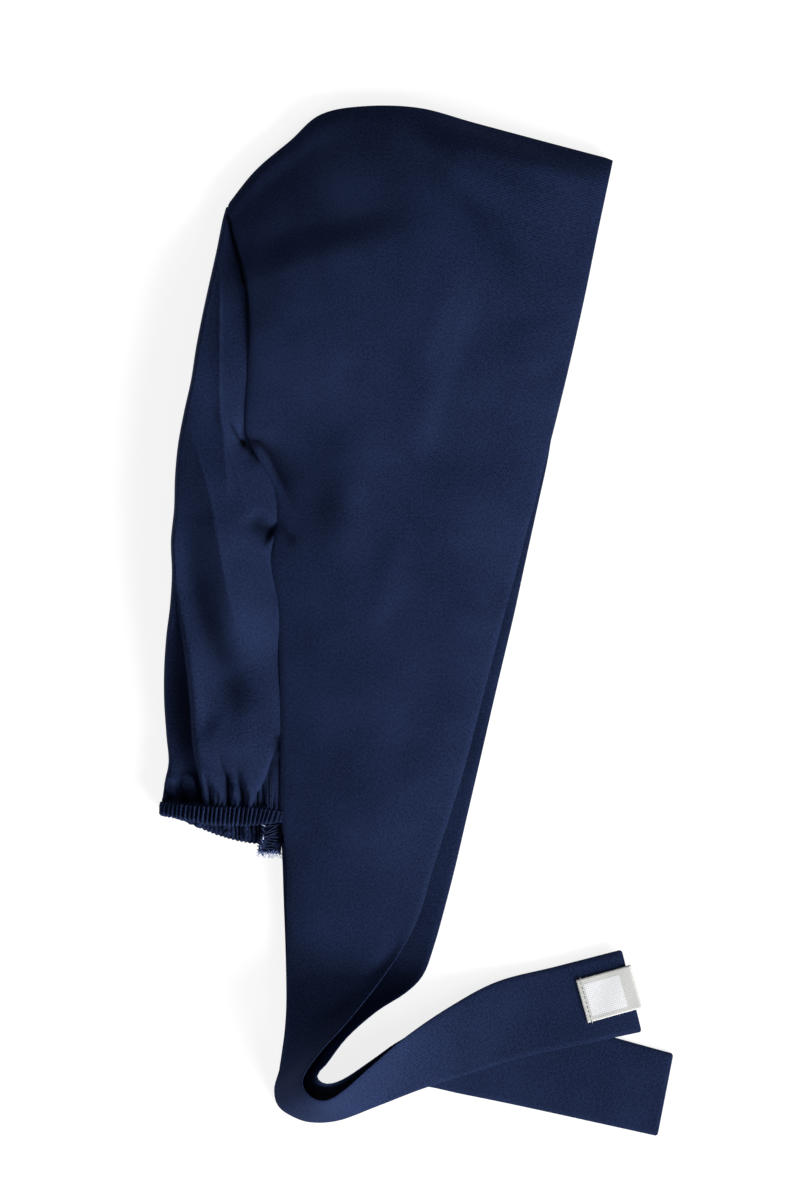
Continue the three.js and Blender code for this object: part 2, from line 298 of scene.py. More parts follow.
def makeFloor():
    place = (0, 0, -studio["floorDepth"])
    bpy.ops.mesh.primitive_plane_add(size=studio["floorSize"], location=place)
    floor = bpy.context.object
    floor.name = "floor"
    paper = bpy.data.materials.new("matt white paper")
    paper.use_nodes = True
    fill(paper.node_tree, paper.node_tree.nodes["Principled BSDF"], {
        "Base Color": linearFromHex(studio["floor"]),
        "Roughness": 0.9,
        "Specular IOR Level": 0.1,
        "Emission Color": (1, 1, 1, 1),
        "Emission Strength": studio["floorGlow"],
    })
    floor.data.materials.append(paper)


makeCamera()
makeRoom()
makeSoftboxes()
makeFloor()
bpy.context.scene.view_settings.view_transform = "Standard"
print("camera, softboxes and floor are up")


twill = {
    # polyester and viscose twill: a fine diagonal rib, nearly matt head on, and silky where it
    # leans towards a light
    "dark": "#0b1020",
    "light": "#283559",
    "roughness": 0.8,
    "specular": 0.02,
    "sheen": 0.003,
    "sheenRoughness": 0.4,
    "sheenTint": "#8fa3d8",
    "ribSpacing": 0.9,  # the real rib is 0.57 apart, too fine for the picture
    "ribAngle": 50,
    "ribBump": 0.55,
    "yarn": 1.0,  # the speckles' size
    "speckled": 0.75,  # how much of the weave they make up, beside the rib
    "patch": 35,  # the size of the patches where the colour drifts
    "drift": 0.12,
    "paintedShade": "#04060d",  # painted shade: mixed into the colour deep in creases, where light hardly comes
}
thread = {
    "dark": "#0a1229",
    "light": "#263862",
    "loop": "#2a4480",
    "fray": "#7f99d2",
    # painted highlight: the near-white of two overlock loops stands in for glints on the thread
    "pale": "#dfe6f4",
    "grey": "#8b8c90",
    "greyLight": "#c9cacd",
    "sheenTint": "#9db0e0",
    "roughness": 0.6,
    "fibre": 0.45,
}
tape = {
    "ground": "#dadbd8",
    "shade": "#cacbc8",
    "patch": "#f1f1f4",
    "patchShade": "#e5e6e9",
    "patchAt": {"X": (-7.2, 6.6), "Y": (-18.2, -2.8)},
    "weft": 0.8,
    "blur": 0.15,  # how soft the patch's edge is
    "roughness": 0.7,
}


def newMaterial(name, roughness, specular, sheen, sheenRoughness=0.5, sheenTint="#ffffff"):
    material = bpy.data.materials.new(name)
    material.use_nodes = True
    shader = material.node_tree.nodes["Principled BSDF"]
    fill(material.node_tree, shader, {
        "Roughness": roughness,
        "IOR": 1.5,
        "Specular IOR Level": specular,
        "Sheen Weight": sheen,
        "Sheen Roughness": sheenRoughness,
        "Sheen Tint": linearFromHex(sheenTint),
    })
    return material, material.node_tree, shader


def mixColours(tree, share, first, second):  # first and second are hex, or sockets
    first, second = (linearFromHex(c) if isinstance(c, str) else c for c in (first, second))
    sockets = {"Factor": share, 6: first, 7: second}
    return addNode(tree, "ShaderNodeMix", sockets, {"data_type": "RGBA"}, 2)


def maths(tree, operation, *values, clamped=False):
    settings = {"operation": operation, "use_clamp": clamped}
    return addNode(tree, "ShaderNodeMath", dict(enumerate(values)), settings)


def noise(tree, place, size, detail, roughness):
    sockets = {"Vector": place, "Scale": 1 / (size * mm), "Detail": detail, "Roughness": roughness}
    return addNode(tree, "ShaderNodeTexNoise", sockets, out="Fac")


def spread(tree, value, low, high, toLow=0, toHigh=1):  # what runs from low to high, spread out
    sockets = {"Value": value, "From Min": low, "From Max": high, "To Min": toLow, "To Max": toHigh}
    return addNode(tree, "ShaderNodeMapRange", sockets)


def bands(tree, place, direction, spacing, wobble, fineness=1):
    sockets = {
        "Vector": place, "Scale": math.pi / (10 * spacing * mm),
        "Distortion": wobble, "Detail": 1, "Detail Scale": fineness,
    }
    settings = {"wave_type": "BANDS", "bands_direction": direction, "wave_profile": "SIN"}
    return addNode(tree, "ShaderNodeTexWave", sockets, settings, "Fac")


def finishShader(tree, shader, colour, height, strength, depth):  # depth of its relief in mm
    sockets = {"Height": height, "Strength": strength, "Distance": depth * mm}
    raised = addNode(tree, "ShaderNodeBump", sockets)
    fill(tree, shader, {"Base Color": colour, "Normal": raised})


def makeTwill(name, look):
    material, tree, shader = newMaterial(
        name, look["roughness"], look["specular"], look["sheen"], look["sheenRoughness"],
        look["sheenTint"],
    )
    cloth = addNode(tree, "ShaderNodeUVMap", {}, {"uv_map": "cloth"})
    turn = (0, 0, math.radians(look["ribAngle"]))
    slanted = addNode(tree, "ShaderNodeMapping", {"Vector": cloth, "Rotation": turn})
    ribs = bands(tree, slanted, "X", look["ribSpacing"], 0.8, 2)
    speckles = spread(tree, noise(tree, cloth, look["yarn"], 3, 0.75), 0.26, 0.74)
    weave = addNode(
        tree, "ShaderNodeMix", {"A": ribs, "B": speckles, "Factor": look["speckled"]},
        {"data_type": "FLOAT"},
    )
    patches = noise(tree, cloth, look["patch"], 3, 0.55)
    drift = spread(tree, patches, 0.3, 0.7, -look["drift"], look["drift"])
    share = maths(tree, "ADD", weave, drift, clamped=True)
    # painted shade: the colour is mixed towards the near-black shade colour as far as the attribute
    # says
    shadeShare = addNode(tree, "ShaderNodeAttribute", {}, {"attribute_name": "paintedShade"}, "Fac")
    yarn = mixColours(tree, share, look["dark"], look["light"])
    colour = mixColours(tree, shadeShare, yarn, look["paintedShade"])
    finishShader(tree, shader, colour, weave, look["ribBump"], 0.15)
    return material


def makeThread(name, dark, light):  # spun polyester thread, twisted
    material, tree, shader = newMaterial(
        name, thread["roughness"], 0.25, 0.1, 0.4, thread["sheenTint"]
    )
    place = addNode(tree, "ShaderNodeTexCoord", {}, out="Object")
    fibre = noise(tree, place, thread["fibre"], 2, 0.6)
    colour = mixColours(tree, spread(tree, fibre, 0.35, 0.65), dark, light)
    finishShader(tree, shader, colour, fibre, 0.4, 0.1)
    return material


def makeTape(name, look):  # woven label tape with a plain white patch woven in
    material, tree, shader = newMaterial(name, look["roughness"], 0.3, 0.1)
    cloth = addNode(tree, "ShaderNodeUVMap", {}, {"uv_map": "cloth"})
    inside = 1
    for axis in ("X", "Y"):
        place = addNode(tree, "ShaderNodeSeparateXYZ", {"Vector": cloth}, out=axis)
        for edge, blur in zip(look["patchAt"][axis], (look["blur"], -look["blur"])):
            mask = spread(tree, place, (edge - blur) * mm, (edge + blur) * mm)
            inside = maths(tree, "MULTIPLY", inside, mask)
    warp, weft = (bands(tree, cloth, axis, look["weft"], 0.6) for axis in ("X", "Y"))
    weave = maths(tree, "MULTIPLY", warp, weft)
    ground = mixColours(tree, weave, look["shade"], look["ground"])
    white = mixColours(tree, weave, look["patchShade"], look["patch"])
    finishShader(tree, shader, mixColours(tree, inside, ground, white), weave, 0.35, 0.12)
    return material


navyTwill = makeTwill("navy polyester viscose twill", twill)
navyThread = makeThread("navy spun polyester thread", thread["dark"], thread["light"])
frayedThread = makeThread("frayed blue thread ends", thread["loop"], thread["fray"])
# painted highlight: thread whose near-white colour stands in for glints on the overlock
glintThread = makeThread("pale thread painted as glints", thread["fray"], thread["pale"])
greyThread = makeThread("grey label thread", thread["grey"], thread["greyLight"])
wovenTape = makeTape("woven white label tape", tape)
print("materials are made")


panel = {
    "thickness": 1.2,
    "edge": 2,  # over this far the edge is pressed thin
    "corner": 1.4,
    "onFloor": 0.6,
    "plateau": 2.5,
    "columns": 74,
    "turnRows": 14,  # rows of points on the turn at the middle line
    "wave": 62,
    "waveSeed": 5,
    "seamRow": 14,  # the pouch's seam ends before this row of the sections
}

# the middle line over the crown, from the forehead edge to the back seam
crownLine = [
    (83.1, 195.7), (53, 203.6), (23.8, 211.4), (1.1, 217.5), (-21.9, 218.3),
    (-40.6, 214.8), (-53.4, 203.8), (-68.2, 191.2), (-80.1, 176.5),
]
crownHeight = {"front": 2.9, "middle": 4.2, "back": 3.2}


def section(front, back, middle, bow=0):
    # across one half: the forehead edge, the other edge, the height halfway between, and how much
    # of the crown line's curve is left
    return {"front": front, "back": back, "middle": middle, "bow": bow}


def onFloor(front, back, bow=0):
    height = panel["onFloor"]
    return section((*front[:2], height), (*back[:2], height), height, bow)


# sections of the near half from the middle line to the tie's end
nearSections = [
    section((83.1, 195.7, 6), (-80.1, 176.5, 6), 5.6, 1),
    section((80.5, 184, 9), (-78.9, 168, 10.4), 11, 0.93),
    section((76.2, 164, 12), (-74.6, 153.5, 14.8), 17.2, 0.78),
    section((71, 138.5, 13.5), (-70.7, 131.5, 17.2), 21.4, 0.55),
    section((64.4, 109, 13.8), (-71.3, 106, 17.2), 20.6, 0.3),
    section((58.1, 83, 13.6), (-72.4, 82.5, 14.8), 19, 0.12),
    section((54.2, 68, 13.4), (-68, 70.5, 12.6), 18, 0.06),
    section((50.1, 52.5, 13.2), (-60.6, 56.5, 12.2), 17.5, 0.03),
    section((46.6, 39.5, 13), (-59.4, 42.5, 12), 17.1),
    section((42.1, 22.4, 12.8), (-62.3, 26, 12), 16.4),
    section((36.6, 2.5, 12.6), (-59.2, 3.5, 12), 16),
    section((28.3, -29.3, 12.2), (-57.9, -30, 11.5), 15.4),
    section((20.3, -60.4, 11.8), (-57.8, -58.5, 11), 14.9),
    section((13.6, -82.5, 11.8), (-57.6, -80.5, 10), 14.4),
    section((7, -102.9, 12.2), (-55.2, -102, 7.5), 13.6),
    section((1.6, -121.5, 13), (-55.2, -121, 5.2), 12.4),
    section((-5.1, -135.8, 14.4), (-55.1, -139.5, 5), 10.8),
    section((-16, -151.8, 17.6), (-55.2, -159, 5), 10.8),
    section((-29.7, -168.3, 22.6), (-56, -177.2, 4.4), 12.4),
    section((-40.2, -179.5, 25.6), (-58.3, -189.5, 2.8), 13.6),
    section((-46.9, -188.6, 27.4), (-60.6, -198.5, 1), 15),
    section((-48, -194, 27.6), (-59, -205.5, 0.8), 15),
    section((-44.4, -198.9, 27.6), (-53.2, -209.8, 0.8), 15),
    section((-38.2, -200.3, 27.2), (-45, -212.4, 0.8), 14.8),
    section((-30.8, -196.2, 26), (-33, -211.5, 1), 14),
    section((-20, -187, 22.5), (-17, -205.5, 2.2), 12.4),
    section((-5, -174.9, 15), (2.8, -197.9, 2.9), 9),
    section((14, -162.6, 7.6), (23, -191.5, 2.8), 5.4),
    section((34, -152.4, 3.8), (43.5, -185, 2.6), 3.2),
    section((59, -146.1, 2.8), (68.5, -179.5, 2.6), 2.7),
    section((86.9, -138.9, 2.6), (95.4, -173.9, 2.6), 2.6),
]

# the far half starts like the near one, flat on the floor, then shows past it
farSections = [onFloor(row["front"], row["back"], row["bow"]) for row in nearSections[:6]] + [
    onFloor((55.3, 67.5), (-68, 70.5), 0.06),
    onFloor((52, 52.5), (-61.5, 56.5), 0.03),
    onFloor((49.2, 39.8), (-60, 42.5)),
    onFloor((45.4, 22.4), (-62.8, 26)),
    onFloor((41.1, 2.5), (-60, 3.5)),
    onFloor((33.6, -29.3), (-58.5, -30)),
    onFloor((26.3, -61), (-58.4, -58.5)),
    onFloor((21.3, -82.5), (-58.2, -80.5)),
    onFloor((16.3, -104), (-57.2, -102)),
    section((11.4, -123, 1), (-56.6, -120, 0.6), 0.6),
    section((7.4, -137, 2.5), (-56, -136, 0.6), 0.8),
    section((2.8, -149.2, 5.5), (-55.6, -152, 0.6), 1.4),
    section((-4.5, -156.5, 9.5), (-55.6, -163.5, 0.6), 2.6),
    section((-17, -164, 15), (-56.3, -174, 0.6), 6),
    section((-29.5, -174.5, 20.5), (-57.6, -184, 0.6), 9.5),
    section((-37.8, -185, 24), (-58.6, -192.5, 0.6), 12.5),
    section((-41.9, -189.5, 25), (-57, -198.9, 0.6), 13.2),
    section((-40.6, -192.6, 25), (-51, -204.5, 0.6), 13.2),
    section((-36.4, -193.6, 24.6), (-43, -206.9, 0.6), 13),
    section((-29.5, -191, 23), (-31.5, -206, 0.6), 12.2),
    section((-17.5, -183.2, 18), (-15.5, -200.5, 0.6), 9.5),
    section((-7, -176.5, 12), (0, -197, 0.6), 6),
    section((14, -166.5, 3), (19.3, -200.6, 0.6), 1.4),
    onFloor((48, -167.5), (47, -206.3)),
    onFloor((109, -183.3), (102.2, -218.4)),
]

panelFolds = [
    # from the crown's bend: a sharp valley, the broad one beside it and the ridges around them
    fold([(-6, 209), (9.6, 190.4), (26, 172.6), (34, 156), (32, 138)], 7, 11, -3.6, (0.4, 0.6)),
    fold([(-2, 205), (9.6, 190.4), (24, 175), (32, 160)], 2.2, 4, -1.5, (0.3, 0.6), True),
    fold([(-4, 215), (24, 204.5), (54, 192), (84, 181)], 7, 34, 5.2, (0.35, 0.4)),
    fold([(26, 154.7), (16.4, 127.9), (3.6, 92.2)], 10, 5, -0.8),
    # the long soft ridge and the patch towards the forehead edge
    fold([(26, 154.7), (16.4, 127.9), (3.6, 92.2), (1.9, 64.2)], 6, 14, 1.2),
    fold([(47, 130), (48, 102)], 10, 10, 1),
    # the pinched seam: the valley that runs from it, the bowl beside this and the ridge beyond
    fold([(-68, 79), (-65.7, 75.7), (-62.5, 70), (-58.9, 62), (-55.5, 55.5), (-51, 46)],
         8, 1.2, -3, (0.4, 0.5), True),
    fold([(-38, 86), (-31.5, 65), (-33, 46), (-44, 30)], 14, 9, 1.7),
    fold([(-62, 43), (-57.5, 40), (-54, 37), (-50.8, 32.6)], 1.4, 2.4, -1.3, (0.2, 0.3), True),
    # soft streaks down the panel
    fold([(-26.1, 68.4), (-32.5, 25.9)], 6, 6, 0.7),
    fold([(-7, 42.9), (-19.8, -8)], 6, 6, 0.7),
    fold([(10, -10), (-10, -66)], 9, 9, -0.6),
    # the crease beside the raised rim at the ties
    fold([(-4, -128), (-10.8, -141.5), (-21, -153.5), (-37, -166.5), (-50, -181)], 3, 5, -1.7),
]
panelSteps = [
    # the crown falls away beyond this line
    {"line": [(-82, 146), (-66, 153), (-48, 159), (-30, 163.5), (-12, 168), (6, 173)],
     "over": 17, "drop": 3.3, "reach": 120, "fade": (0.1, 0.4)},
]

# painted shade: where its creases lie deep their colour is darkened, and how dark is given as the
# height
panelPaintedShade = [
    fold([(-72.5, 76), (-69.5, 76.4), (-66, 74.4), (-62, 69)], 1.8, 3.6, 0.8, (0, 0.55)),
    fold([(-68.6, 78), (-65.7, 75.4), (-62.5, 69.7), (-58.9, 61.7), (-55.5, 54.7), (-52, 48)],
         4, 1, 0.5, (0.04, 0.4)),
    fold([(-66, 76), (-56, 70), (-48, 62), (-46, 52)], 7, 7, 0.2, (0.2, 0.4)),
    fold([(-58.5, 44), (-55.5, 39.5), (-51.5, 33.5)], 1.5, 3, 0.4, (0.2, 0.5)),
    fold([(-79.6, 173), (-76.5, 160), (-72.4, 147), (-71, 134), (-70.4, 121), (-71.4, 108)],
         0.35, 1, 0.7, (0.05, 0.45)),
    fold([(-8, 207), (9.6, 190.4), (24, 174), (32, 156)], 3, 6, 0.22),
    fold([(-2, -127), (-10.8, -141.5), (-21, -153.5), (-37, -166.5), (-48, -179)], 2.5, 3.5, 0.1),
]

halves = {
    # turn: how far in from the middle line a half takes to turn over; seam: how far the pouch's
    # seam lies over its edge or under it
    "near": {"sections": nearSections, "turn": 6.5, "spacing": 1.9, "ripple": 0.9, "seam": -1.3,
             "folds": panelFolds, "steps": panelSteps},
    "far": {"sections": farSections, "turn": 3.8, "spacing": 3, "ripple": 0, "seam": 1.3,
            "folds": [], "steps": []},
}
rowLength = math.dist(nearSections[0]["front"][:2], nearSections[1]["front"][:2])


def crownCurve(across):  # how the crown line leaves the straight line between its ends
    last = len(crownLine) - 1
    start, end = np.array(crownLine[0], float), np.array(crownLine[-1], float)
    return through(crownLine, across * last) - mix(start, end, across[..., None])


def middleLineHeight(across):
    front, middle, back = crownHeight["front"], crownHeight["middle"], crownHeight["back"]
    return mix(front, back, across) + (middle - (front + back) / 2) * 4 * across * (1 - across)


def panelHalf(half, row, across, ripple=0):
    # points on the middle of one half: across is 0 at the forehead edge and 1 at the back
    table = half["sections"]
    front, back = read(table, "front", row), read(table, "back", row)
    point = mix(front, back, across[..., None])
    point[..., :2] += crownCurve(across) * read(table, "bow", row)[..., None]
    x, y = point[..., 0], point[..., 1]
    level = (front[..., 2] + back[..., 2]) / 2
    swell = read(table, "middle", row) - level
    swell = swell * (1 - np.abs(2 * across - 1) ** panel["plateau"])
    starts = np.clip(row, 0, 1)
    creases = foldHeight(x, y, half["folds"]) + stepHeight(x, y, half["steps"])
    height = point[..., 2] + swell + creases * starts
    height += waves(x, y, ripple, panel["wave"], panel["waveSeed"]) * starts
    height = mix(middleLineHeight(across), height, turned(row * rowLength, half["turn"]))
    point[..., 2] = np.maximum(height, panel["onFloor"])
    return point


def rowsFor(half):
    # row numbers spaced evenly along the half, and closely where it turns over and at its end
    table = half["sections"]
    last = len(table) - 1
    fine = np.linspace(0, last, 2001)
    run = runAlong((read(table, "front", fine) + read(table, "back", fine)) / 2)
    start = half["turn"] / rowLength
    rolled = start * (1 - np.cos(np.linspace(0, math.pi / 2, panel["turnRows"])[1:]))
    startRun = np.interp(start, fine, run)
    count = int((run[-1] - startRun) / half["spacing"])
    evenly = np.interp(np.linspace(startRun, run[-1], count + 1)[1:], run, fine)
    step = 1 / np.interp(last, fine, np.gradient(run, fine))
    tail = last - panel["corner"] * step * np.array([1.5, 1, 0.7, 0.45, 0.25, 0.12, 0.04, 0])
    evenly = evenly[evenly < tail[0] - 0.5 * step]
    return np.concatenate([rolled, evenly, tail]), len(tail)


def panelGrid():
    sides = []
    for half in halves.values():
        rows, tail = rowsFor(half)
        front, back = read(half["sections"], "front", rows), read(half["sections"], "back", rows)
        width = np.linalg.norm(front - back, axis=1)
        across = rimPlaces(width, panel["columns"], panel["edge"])
        fromEnd = np.linalg.norm(front[-tail:] - front[-1], axis=1)[:, None]
        across[-tail:] = roundedCorners(
            across[-tail:], fromEnd, width[-tail:, None], panel["corner"]
        )
        row = np.repeat(rows[:, None], across.shape[1], axis=1)
        sides.append((panelHalf(half, row, across, half["ripple"]), across, width))
    (near, nearAcross, nearWidth), (far, farAcross, farWidth) = sides
    first = nearAcross[:1]
    middle = panelHalf(halves["near"], np.zeros(first.shape), first)
    points = np.vstack([near[::-1], middle, far])
    across = np.vstack([nearAcross[::-1], first, farAcross])
    width = np.concatenate([nearWidth[::-1], nearWidth[:1], farWidth])
    return points, across, width[:, None], len(near)


def makeFrontPanel():
    points, across, width, nearRows = panelGrid()
    along = runAlong(points[:, points.shape[1] // 2])[:, None]
    flat = np.stack([(0.5 - across) * width, np.repeat(along, across.shape[1], 1)], axis=-1)
    fromSide = np.minimum(across, 1 - across) * width
    fromEnd = np.minimum(along, along[-1] - along)
    half = rimThickness(np.minimum(fromSide, fromEnd), panel["thickness"] / 2, panel["edge"])
    # painted shade in the near half's creases, from the table above
    paintedShade = np.zeros(across.shape)
    x, y = points[:nearRows, :, 0], points[:nearRows, :, 1]
    paintedShade[:nearRows] = np.clip(foldHeight(x, y, panelPaintedShade), 0, 1)
    return clothMesh("front_panel_cloth", navyTwill, points, flat, half, paintedShade)


frontPanel = makeFrontPanel()

# the drawing's middle is not the frame's: the two are brought together by the front panel's box
cadLow, cadHigh = (np.array(corner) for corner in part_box("front_panel"))
ownPoints = np.array([v.co for v in frontPanel.data.vertices])
toFrame = (cadLow + cadHigh) / 2 - (ownPoints.min(0) + ownPoints.max(0)) / 2
toFrame[2] = 0


def place(thing):
    points = np.empty(len(thing.data.vertices) * 3)
    thing.data.vertices.foreach_get("co", points)
    points = points.reshape(-1, 3) + toFrame
    thing.data.vertices.foreach_set("co", points.ravel())
    thing.data.update()


place(frontPanel)
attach(frontPanel, "root")
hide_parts("front_panel")


pouch = {
    "thickness": 0.9,
    "edge": 0.6,
    "tuck": 2,  # how far its seam runs in under the front panel's edge
    "outerHeight": 3,
    "nearTurn": 1.9,
    "farTurn": 2.4,
    "onFloor": 0.5,
    "nearColumns": 150,
    "farColumns": 40,
    "rowSpacing": 1.08,
    "pleated": 16,  # how far up from the casing the pleats need closer rows
    "pleatedRows": 26,
    "bend": 26,  # over this far above the casing it turns into the casing's line
    "settle": 12,  # and over this far it takes the casing's height
    "smooth": 1.6,  # so close to the casing its folds end
    "intoCasing": 0.1,  # its lower edge ends inside the casing
    "ribs": 0.8,
    "ribReach": 3.2,
    "dark": (0.3, 2.4),  # painted shade: how much the gathers' valleys are darkened, fading over so far
    "wave": {"height": 0.35, "length": 40, "seed": 8},
    "farSeam": (0.86, 0.1),  # where the far cloth starts to come up to its seam, over what share
}


def pouchRow(outer, near, rise, shoulder=4, far=None):
    # one level: the outer line, where the near seam is there, how high the near cloth stands, its
    # shoulder (the higher, the closer to the seam it stays level), and the far seam if elsewhere
    return {"outer": outer, "near": near, "far": near if far is None else far,
            "rise": rise, "shoulder": shoulder}


# levels from the crown to the casing
pouchLevels = [
    pouchRow((-80.5, 176.2), 175.8, 4.6),
    pouchRow((-82.2, 170), 168.5, 6.5),
    pouchRow((-84.8, 156.8), 155, 9.5),
    pouchRow((-87.8, 143.2), 142, 13.2),
    pouchRow((-90.7, 129.6), 129, 15.2),
    pouchRow((-93.3, 116), 115.5, 16.2),
    pouchRow((-95.4, 102.4), 102, 16.6),
    pouchRow((-98.4, 88.8), 88.5, 16.2),
    pouchRow((-100.9, 75.2), 75, 15.6, 3.5),
    pouchRow((-102.2, 61.6), 61.5, 15.6, 3),
    pouchRow((-102.6, 48), 48, 16, 2.2),
    pouchRow((-103.9, 34.4), 34.4, 17.4, 1.8),
    pouchRow((-103.5, 20.8), 20.8, 18.2, 1.6),
    pouchRow((-104.3, 7.2), 7.2, 18.4, 1.6),
    pouchRow((-106, -6.4), -6.4, 17.8, 1.7),
    pouchRow((-106.9, -20), -20, 16.6, 2, -20.5),
    pouchRow((-106.9, -33.6), -34, 16, 2.6, -35),
    pouchRow((-106, -47.2), -48, 15.4, 3, -50.5),
    pouchRow((-105.2, -58.7), -60, 14.8, 4, -65),
    pouchRow((-107.3, -67.6), -70, 14.4, 4, -77),
    pouchRow((-108.2, -75.6), -80, 14, 4, -87),
]

# the casing's top and bottom edges, from the near seam round the turn to the far seam
casingEdges = [
    ((-56.6, -79.6, 9.4), (-57, -84.6, 8.8)),
    ((-63, -78.6, 11.2), (-64.4, -85.2, 10.8)),
    ((-70, -77.8, 12.6), (-70.6, -85.9, 12.2)),
    ((-78, -77.5, 13.2), (-78.2, -85.9, 12.8)),
    ((-86.5, -77.5, 13), (-86.6, -85.6, 12.6)),
    ((-94.5, -77, 12.2), (-94.6, -84.2, 11.8)),
    ((-101.5, -76.5, 10.2), (-101.6, -83, 9.8)),
    ((-106.4, -76.1, 7.2), (-106.6, -82.2, 7)),
    ((-107.4, -76, 4.6), (-107.6, -82, 4.5)),
    ((-106, -76.2, 2.4), (-106.2, -82.2, 2.3)),
    ((-101.5, -76.9, 1.5), (-101.5, -83.2, 1.4)),
    ((-94, -78.2, 1.6), (-94.2, -86.6, 1.5)),
    ((-84.5, -80.6, 1.8), (-84.8, -90.4, 1.6)),
    ((-75, -82.6, 2), (-75.6, -93, 1.7)),
    ((-65, -84, 2.2), (-65.6, -94.4, 1.8)),
    ((-57.6, -84.4, 2.2), (-58, -95, 1.8)),
]
casingTops, casingBottoms = np.array(casingEdges, float).transpose(1, 0, 2)
casingTurn = 8  # the row of the table where it turns under

casing = {
    "thickness": 2.3,
    "edge": 1.3,
    "topEdge": 0.5,
    "rib": 1.85,  # from one gather to the next
    "ribHeight": 0.85,
    "ribSeed": 11,
    "slant": -0.16,
    "perRib": 9,
    "rows": 16,
    "groove": 0.3,
    "grooveAt": 0.14,
    "scallop": 0.25,
    "underStrip": 7,  # so far from the near seam the gathers are pressed flat
}

ridgeLine = [
    (-99, 92), (-96.3, 80.3), (-90.9, 66), (-86.9, 51.4), (-84.8, 40.4), (-81.8, 24), (-78, 5.5),
    (-72.5, -7.7), (-64.4, -19.6),
]
pouchFolds = [
    # the sharp crease down the upper part, and the narrow facet it ends in
    fold([(-83.4, 160), (-83.1, 133.5), (-83.1, 112), (-83.1, 94.8), (-82.7, 86.3), (-81, 78.2),
         (-78.7, 69.7), (-75.9, 62.5), (-73.6, 54), (-71.6, 46.8), (-68.8, 39.1), (-64, 25.5)],
         0.7, 2.2, 0.8, (0.12, 0.4), True),
    fold([(-83.1, 98), (-82.7, 88), (-81.4, 78.2), (-81.2, 69.3), (-80, 60), (-79.7, 49.3)],
         2.6, 5.5, 1.5, (0.4, 0.25), True),
    fold([(-83.4, 158), (-83.1, 112), (-82.7, 86.3)], 5, 6, 0.3),
    # the ridge that runs from the outer line down to the seam, and the valley below it
    fold(ridgeLine, 17, 10, 3.8, (0.6, 0.25)),
    fold(ridgeLine, 2.2, 2.4, 1, (0.3, 0.4), True),
    fold([(-97.5, 54), (-96.3, 28), (-92.6, 7), (-85.4, -12), (-79.4, -26), (-71, -40)],
         9, 7.5, -4.8, (0.35, 0.25)),
    # the broad swelling above the casing
    fold([(-92, -44), (-80, -50), (-64, -48)], 10, 8, 1.6),
    # the dent at the pinched seam, the thin crease into it and the smaller dent below
    fold([(-80.2, 86.2), (-77.6, 81.6), (-75, 77.3), (-71.5, 75)], 1.4, 3, -1.3, (0.3, 0.2), True),
    fold([(-78, 84), (-71, 75), (-64, 66)], 4, 6, -2.4, (0.4, 0.4)),
    fold([(-70.5, 47), (-66.5, 41), (-60, 36)], 4, 4.5, -3, (0.4, 0.2)),
    # the notch where the seam's flat strip starts, and the strip's edge
    fold([(-60.5, -46), (-58.5, -56)], 2, 2, -1.3),
    fold([(-60, -52), (-62.4, -60), (-64.8, -67), (-68.3, -73), (-69.6, -78)],
         4, 0.7, -1.9, (0.2, 0), True),
]
pouchSteps = [
    # the near cloth's edge, which hangs over the layer beside it
    {"line": [(-90, -78), (-90.6, -70.6), (-91.8, -64), (-93.3, -57.4), (-94.4, -49.3),
              (-95.4, -31.9), (-97.1, -16.2), (-99.3, -0.9), (-101.7, 14.5), (-103.2, 28)],
     "over": 1.6, "drop": 8, "reach": 40, "fade": (0.03, 0.45)},
]
pouchRims = [
    fold([(-88.9, -70), (-90, -64), (-91.5, -57.4), (-92.5, -49.3), (-93.4, -31.9), (-95.1, -16.2),
         (-97.3, -0.9), (-99.8, 14.5)], 1.3, 3, 0.9, (0.2, 0.3)),
]
# the pleats that the casing gathers, crests (+) and valleys (-)
pouchPleats = [
    fold([(-105.4, -57), (-104.3, -64), (-102.8, -68.7), (-101.9, -78)], 1.6, 3, 2),
    fold([(-100.2, -59), (-99.8, -64), (-99.4, -70), (-97.4, -78)], 1.3, 1.7, -1.7),
    fold([(-100.5, -63.6), (-97.5, -64.2), (-95.2, -66.3), (-94.1, -70), (-93.7, -78)],
         1, 1.6, 2.2),
    fold([(-93.9, -58), (-92.6, -68), (-91.4, -78)], 0.8, 1.2, -1.5),
    fold([(-93.3, -53), (-90.6, -59.8), (-87.9, -64), (-85.6, -68.1), (-83.2, -72.3), (-81.4, -78)],
         2.2, 1.1, 2.3),
    fold([(-91, -62), (-88.9, -67), (-87.6, -71), (-86.6, -78)], 1.6, 1.5, -3),
    fold([(-86.6, -69.5), (-85.6, -73), (-84.6, -78)], 0.6, 0.8, 1.1),
    fold([(-84.4, -50), (-82.7, -60), (-80.5, -65), (-79.9, -70), (-79.9, -78)], 1.6, 1.9, -4.2),
    fold([(-78.9, -68), (-77.6, -71.5), (-76, -78)], 1, 1, 1.7),
    fold([(-76.4, -60), (-75.2, -66), (-74, -71), (-73.4, -78)], 1.1, 1.4, -3),
    fold([(-76, -58), (-73.1, -65.7), (-71.3, -71), (-70.1, -78)], 2.4, 0.8, 1.8),
    fold([(-67.6, -69), (-67.2, -78)], 0.6, 0.7, -1.6),
    fold([(-65.6, -66), (-64.9, -78)], 0.6, 0.7, -1.8),
    fold([(-62.8, -60), (-62.4, -78)], 0.5, 0.5, -1.2),
]
